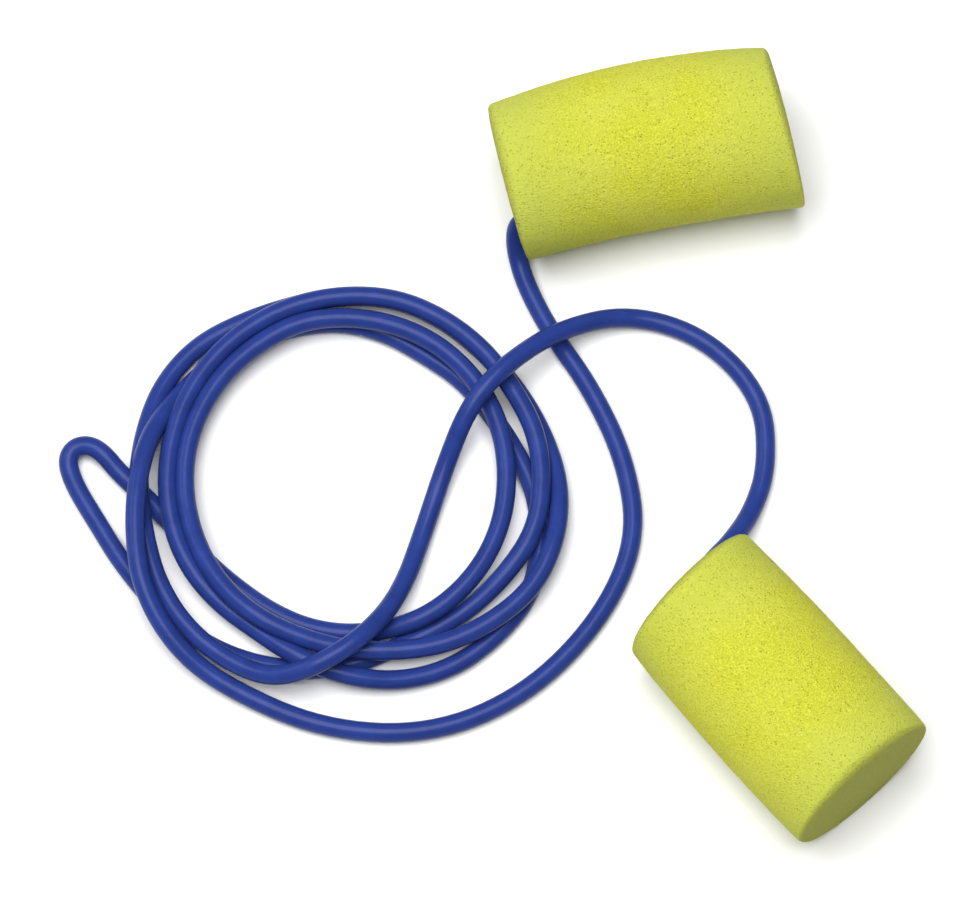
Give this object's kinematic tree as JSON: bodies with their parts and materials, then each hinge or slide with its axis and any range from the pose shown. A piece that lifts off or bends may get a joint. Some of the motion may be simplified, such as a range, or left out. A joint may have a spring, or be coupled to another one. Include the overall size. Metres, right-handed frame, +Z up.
{
  "type": "corded foam ear plugs",
  "caption": "Soft foam cylinders for the ears, joined by a limp blue cord that lies in loose turns on a flat surface.",
  "frame": {"origin": "middle of the two plugs' common box, on the surface that they lie on", "axes": "+Z up; +Y the longer way across the two plugs; +X to the right of the picture"},
  "size_m": [0.0702, 0.0665, 0.0135],
  "materials": {
    "foam": "soft slow-recovery foam with fine pores, yellow-green",
    "cord": "smooth semi-gloss soft vinyl, blue",
    "glue": "clear adhesive, hidden inside the foam"
  },
  "bodies": {
    "cord": {"cord_coil": "cord", "cord_tail_a": "cord", "cord_tail_b": "cord", "cord_fold": "cord"},
    "plug_a": {"foam_plug_a": "foam", "cord_end_a": "cord", "glue_bead_a": "glue"},
    "plug_b": {"foam_plug_b": "foam", "cord_end_b": "cord", "glue_bead_b": "glue"}
  },
  "joints": [
    {"name": "plug_a_swing", "type": "hinge", "parent": "cord", "child": "plug_a", "pos_m": [-0.01419, 0.0195, 0.00435], "axis": [0, 0, 1], "range_deg": [0, 35]},
    {"name": "plug_b_swing", "type": "hinge", "parent": "cord", "child": "plug_b", "pos_m": [0.00056, -0.0125, 0.004], "axis": [0, 0, 1], "range_deg": [-35, 0]}
  ]
}
